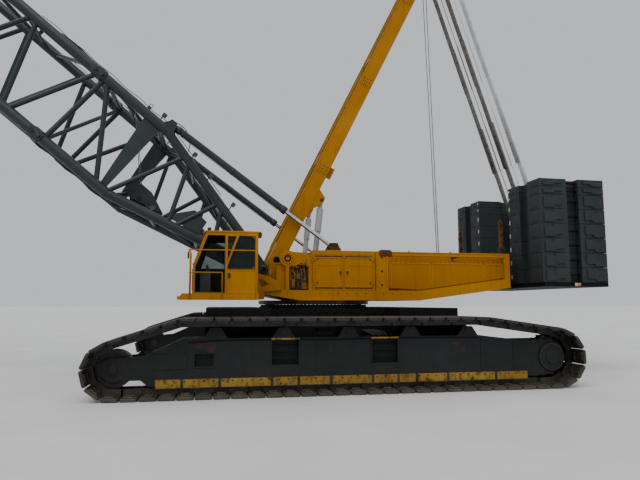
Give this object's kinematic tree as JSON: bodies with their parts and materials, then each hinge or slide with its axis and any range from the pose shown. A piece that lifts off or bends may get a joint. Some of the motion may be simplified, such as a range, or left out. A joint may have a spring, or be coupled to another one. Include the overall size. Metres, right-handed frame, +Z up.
{
  "type": "crawler crane",
  "caption": "Lattice-boom crawler crane with mast, backstops, stacked counterweights and wide tracks; slews, luffs and swings as one linked machine.",
  "frame": {"origin": "on the slewing axis at ground level", "axes": "+X forward, the way the boom points; +Y to the machine's left; +Z up"},
  "size_m": [31.6173, 9.9, 20.8392],
  "materials": {
    "yellow_paint": "worn glossy paint",
    "dark_green_paint": "semi-gloss paint",
    "dark_grey_paint": "dusty semi-matt paint",
    "track_steel": "rust-brown cast steel",
    "machined_steel": "machined",
    "silver_paint": "satin paint",
    "rope_steel": "greased wire rope",
    "rod_chrome": "polished",
    "engine_iron": "painted casting",
    "cab_glass": "clear",
    "seat_fabric": "woven",
    "console_plastic": "matt"
  },
  "bodies": {
    "base": {"carbody": "dark_grey_paint", "slew_ring": "machined_steel", "track_frame_left": "dark_grey_paint", "track_frame_right": "dark_grey_paint", "track_left": "track_steel", "track_right": "track_steel", "track_wheels": "dark_grey_paint", "track_rollers": "dark_grey_paint", "chain_guards": "yellow_paint"},
    "platform": {"upper_frame": "yellow_paint", "side_panels": "yellow_paint", "machinery_house": "yellow_paint", "engine": "engine_iron", "valve_bank": "dark_grey_paint", "counterweight_tray": "yellow_paint", "counterweights_left": "dark_grey_paint", "counterweights_right": "dark_grey_paint", "cab_platform": "yellow_paint", "cab": "yellow_paint", "cab_glass": "cab_glass", "cab_seat": "seat_fabric", "cab_console": "console_plastic"},
    "front_hoist_drum": {"hoist_drum_front": "dark_grey_paint"},
    "rear_hoist_drum": {"hoist_drum_rear": "dark_grey_paint"},
    "luffing_winch_drum": {"luffing_drum": "dark_grey_paint"},
    "front_house_door": {"house_door_front": "yellow_paint"},
    "rear_house_door": {"house_door_rear": "yellow_paint"},
    "sliding_cab_door": {"cab_door": "yellow_paint", "cab_door_glass": "cab_glass"},
    "mast_body": {"mast": "yellow_paint"},
    "reeving_stage_one": {"reeving_upper": "rope_steel"},
    "mast_head_sheaves": {"mast_sheaves": "dark_grey_paint"},
    "cylinder_barrels": {"mast_cylinders": "silver_paint"},
    "cylinder_rods": {"mast_cylinder_rods": "rod_chrome"},
    "pendant_bars": {"pendants": "dark_grey_paint"},
    "reeving_stage_two": {"reeving_middle": "rope_steel"},
    "reeving_stage_three": {"reeving_lower": "rope_steel"},
    "tail_sheaves": {"rear_sheaves": "dark_grey_paint"},
    "boom_body": {"boom_foot": "dark_green_paint", "boom_middle": "dark_green_paint", "boom_head": "dark_green_paint", "jib_lugs": "dark_green_paint"},
    "boom_drum": {"boom_winch_drum": "dark_grey_paint"},
    "boom_tip_sheaves": {"boom_head_sheaves": "dark_grey_paint"},
    "backstop_outer": {"backstop_tubes": "dark_green_paint"},
    "backstop_inner": {"backstop_rods": "rod_chrome"},
    "hook_tackle": {"hoist_falls": "rope_steel", "hook_block": "yellow_paint"},
    "swivel_hook": {"hook": "machined_steel"}
  },
  "joints": [
    {"name": "slewing", "type": "hinge", "parent": "base", "child": "platform", "pos_m": [0, 0, 1.985], "axis": [0, 0, 1], "continuous": true},
    {"name": "front_drum_spin", "type": "hinge", "parent": "platform", "child": "front_hoist_drum", "pos_m": [-2.35, 0, 2.99], "axis": [0, 1, 0], "continuous": true},
    {"name": "rear_drum_spin", "type": "hinge", "parent": "platform", "child": "rear_hoist_drum", "pos_m": [-3.65, 0, 2.99], "axis": [0, 1, 0], "continuous": true},
    {"name": "luffing_drum_spin", "type": "hinge", "parent": "platform", "child": "luffing_winch_drum", "pos_m": [-4.95, 0, 2.99], "axis": [0, 1, 0], "continuous": true},
    {"name": "front_door_hinge", "type": "hinge", "parent": "platform", "child": "front_house_door", "pos_m": [0.265, 1.598, 2.9], "axis": [0, 0, -1], "range_deg": [0, 110]},
    {"name": "rear_door_hinge", "type": "hinge", "parent": "platform", "child": "rear_house_door", "pos_m": [-1.495, 1.598, 2.9], "axis": [0, 0, 1], "range_deg": [0, 110]},
    {"name": "cab_door_slide", "type": "slide", "parent": "platform", "child": "sliding_cab_door", "axis": [1, 0, 0], "range_m": [0, 0.8]},
    {"name": "boom_luff", "type": "hinge", "parent": "platform", "child": "boom_body", "pos_m": [1.68, 0, 2.98], "axis": [0, -1, 0], "range_deg": [-20, 38]},
    {"name": "mast_luff", "type": "hinge", "parent": "platform", "child": "mast_body", "pos_m": [1.3, 0, 3.27], "axis": [0, -1, 0], "range_deg": [-20.93, 39.55]},
    {"name": "mast_sheave_spin", "type": "hinge", "parent": "mast_body", "child": "mast_head_sheaves", "pos_m": [-4.19408, 0, 14.38643], "axis": [0, 1, 0], "continuous": true},
    {"name": "pendant_swing", "type": "hinge", "parent": "mast_body", "child": "pendant_bars", "pos_m": [-4.19408, 0, 14.38643], "axis": [0, -1, 0], "range_deg": [-1.48, 0.78]},
    {"name": "reeving_swing", "type": "hinge", "parent": "mast_body", "child": "reeving_stage_one", "pos_m": [-4.19408, 0, 14.38643], "axis": [0, -1, 0], "range_deg": [-5.63, 2.98]},
    {"name": "reeving_middle_slide", "type": "slide", "parent": "reeving_stage_one", "child": "reeving_stage_two", "axis": [-0.3131, 0, -0.9497], "range_m": [-3.058, 1.6183]},
    {"name": "reeving_lower_slide", "type": "slide", "parent": "reeving_stage_two", "child": "reeving_stage_three", "axis": [-0.3131, 0, -0.9497], "range_m": [-3.058, 1.6183]},
    {"name": "tail_sheave_spin", "type": "hinge", "parent": "platform", "child": "tail_sheaves", "pos_m": [-7.8, 0, 3.45], "axis": [0, 1, 0], "continuous": true},
    {"name": "mast_cylinder_tilt", "type": "hinge", "parent": "mast_body", "child": "cylinder_barrels", "pos_m": [-0.04664, 0, 5.09194], "axis": [0, -1, 0], "range_deg": [-9.87, 5.22]},
    {"name": "mast_cylinder_extend", "type": "slide", "parent": "cylinder_barrels", "child": "cylinder_rods", "axis": [0.1057, 0, -0.9944], "range_m": [-0.862, 0.4562]},
    {"name": "backstop_tilt", "type": "hinge", "parent": "boom_body", "child": "backstop_outer", "pos_m": [4.30771, 0, 7.04364], "axis": [0, -1, 0], "range_deg": [-6.34, 3.36]},
    {"name": "backstop_extend", "type": "slide", "parent": "backstop_outer", "child": "backstop_inner", "axis": [-0.8082, 0, -0.5889], "range_m": [-1.2622, 0.6679]},
    {"name": "boom_drum_spin", "type": "hinge", "parent": "boom_body", "child": "boom_drum", "pos_m": [5.23322, 0, 5.04233], "axis": [0, 1, 0], "continuous": true},
    {"name": "boom_sheave_spin", "type": "hinge", "parent": "boom_body", "child": "boom_tip_sheaves", "pos_m": [22.89733, 0, 19.61633], "axis": [0, 1, 0], "continuous": true},
    {"name": "hook_hang", "type": "hinge", "parent": "boom_body", "child": "hook_tackle", "pos_m": [22.89733, 0, 19.61633], "axis": [0, -1, 0], "range_deg": [-38, 20]},
    {"name": "hook_swivel", "type": "hinge", "parent": "hook_tackle", "child": "swivel_hook", "pos_m": [22.89733, 0, 15.61633], "axis": [0, 0, 1], "continuous": true}
  ],
  "couplings": [
    {"joint": "mast_luff", "follows": "boom_luff", "ratio": 1.0344},
    {"joint": "pendant_swing", "follows": "boom_luff", "ratio": -0.03873},
    {"joint": "reeving_swing", "follows": "boom_luff", "ratio": -0.14728},
    {"joint": "reeving_middle_slide", "follows": "boom_luff", "m_per_rad": -4.5829},
    {"joint": "reeving_lower_slide", "follows": "boom_luff", "m_per_rad": -4.5829},
    {"joint": "mast_cylinder_tilt", "follows": "boom_luff", "ratio": -0.25815},
    {"joint": "mast_cylinder_extend", "follows": "boom_luff", "m_per_rad": -1.2919},
    {"joint": "backstop_tilt", "follows": "boom_luff", "ratio": -0.16595},
    {"joint": "backstop_extend", "follows": "boom_luff", "m_per_rad": -1.8916},
    {"joint": "hook_hang", "follows": "boom_luff", "ratio": -1}
  ]
}
